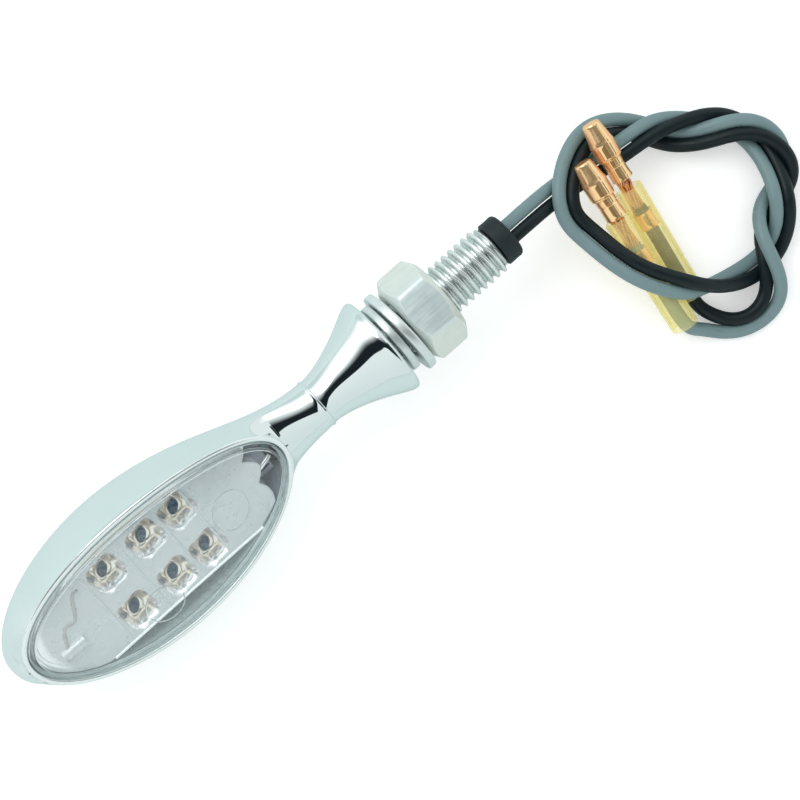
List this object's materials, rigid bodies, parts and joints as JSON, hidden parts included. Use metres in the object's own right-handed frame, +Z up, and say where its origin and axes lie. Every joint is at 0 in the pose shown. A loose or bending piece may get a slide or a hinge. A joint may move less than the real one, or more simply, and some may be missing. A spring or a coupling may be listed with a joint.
{
  "type": "motorcycle turn signal indicator",
  "caption": "Teardrop chrome lamp head on a flared neck with a hollow threaded stud, nut and washers, clear lens, inner lamps, and two cables ending in sleeved bullet terminals.",
  "frame": {"origin": "on the bench the indicator lies on, under the middle of its box; the centre of the mounting face, on the stud's axis, is at (1.96, 11.08, 12.53) mm", "axes": "+X along the stud, from the mounting face towards the cables; +Z up; the lens looks up and towards -Y"},
  "size_m": [0.137, 0.0468, 0.0236],
  "materials": {
    "chrome": "mirror polished",
    "clear_lens": "clear polished plastic",
    "rubber": "satin",
    "plated_reflector": "plated plastic",
    "circuit_board": "matt",
    "led_resin": "clear resin",
    "chip_black": "matt",
    "solder": "bright",
    "potting_resin": "satin",
    "zinc_plate": "zinc plated",
    "grey_insulation": "satin",
    "black_insulation": "satin",
    "copper": "bare strands",
    "brass": "polished",
    "sleeve_vinyl": "translucent vinyl"
  },
  "bodies": {
    "lamp": {"housing": "chrome", "lens": "clear_lens", "lens_seal": "rubber", "reflector": "plated_reflector", "circuit_board": "circuit_board", "led_1": "led_resin", "led_2": "led_resin", "led_3": "led_resin", "led_4": "led_resin", "led_5": "led_resin", "led_6": "led_resin", "resistor_1": "chip_black", "resistor_2": "chip_black", "diode": "chip_black", "solder_grey": "solder", "solder_black": "solder", "potting_plug": "potting_resin", "stud": "zinc_plate", "grommet": "rubber", "cable_grey": "grey_insulation", "cable_black": "black_insulation", "terminal_grey": "brass", "terminal_black": "brass", "conductor_grey": "copper", "conductor_black": "copper"},
    "flat_washer": {"flat_washer": "zinc_plate"},
    "nut": {"hex_nut": "zinc_plate"},
    "lock_washer": {"lock_washer": "zinc_plate"},
    "sleeve_grey": {"sleeve_grey": "sleeve_vinyl"},
    "sleeve_black": {"sleeve_black": "sleeve_vinyl"}
  },
  "joints": [
    {"name": "nut_travel", "type": "slide", "parent": "lamp", "child": "flat_washer", "axis": [1, 0, 0], "range_m": [0, 0.0102]},
    {"name": "nut_turn", "type": "hinge", "parent": "flat_washer", "child": "nut", "pos_m": [0.00241, 0.01195, 0.01253], "axis": [1, 0, 0], "range_deg": [-1, 2940]},
    {"name": "lock_washer_travel", "type": "slide", "parent": "lamp", "child": "lock_washer", "axis": [1, 0, 0], "range_m": [0, 0.0052]},
    {"name": "sleeve_grey_slide", "type": "slide", "parent": "lamp", "child": "sleeve_grey", "axis": [0.1139, 0.9592, 0.2588], "range_m": [0, 0.0035]},
    {"name": "sleeve_black_slide", "type": "slide", "parent": "lamp", "child": "sleeve_black", "axis": [0.1366, 0.9464, 0.2927], "range_m": [0, 0.0048]}
  ],
  "couplings": [
    {"joint": "nut_turn", "follows": "nut_travel", "rad_per_m": 5026.5},
    {"joint": "lock_washer_travel", "follows": "nut_travel", "ratio": 0.5}
  ]
}
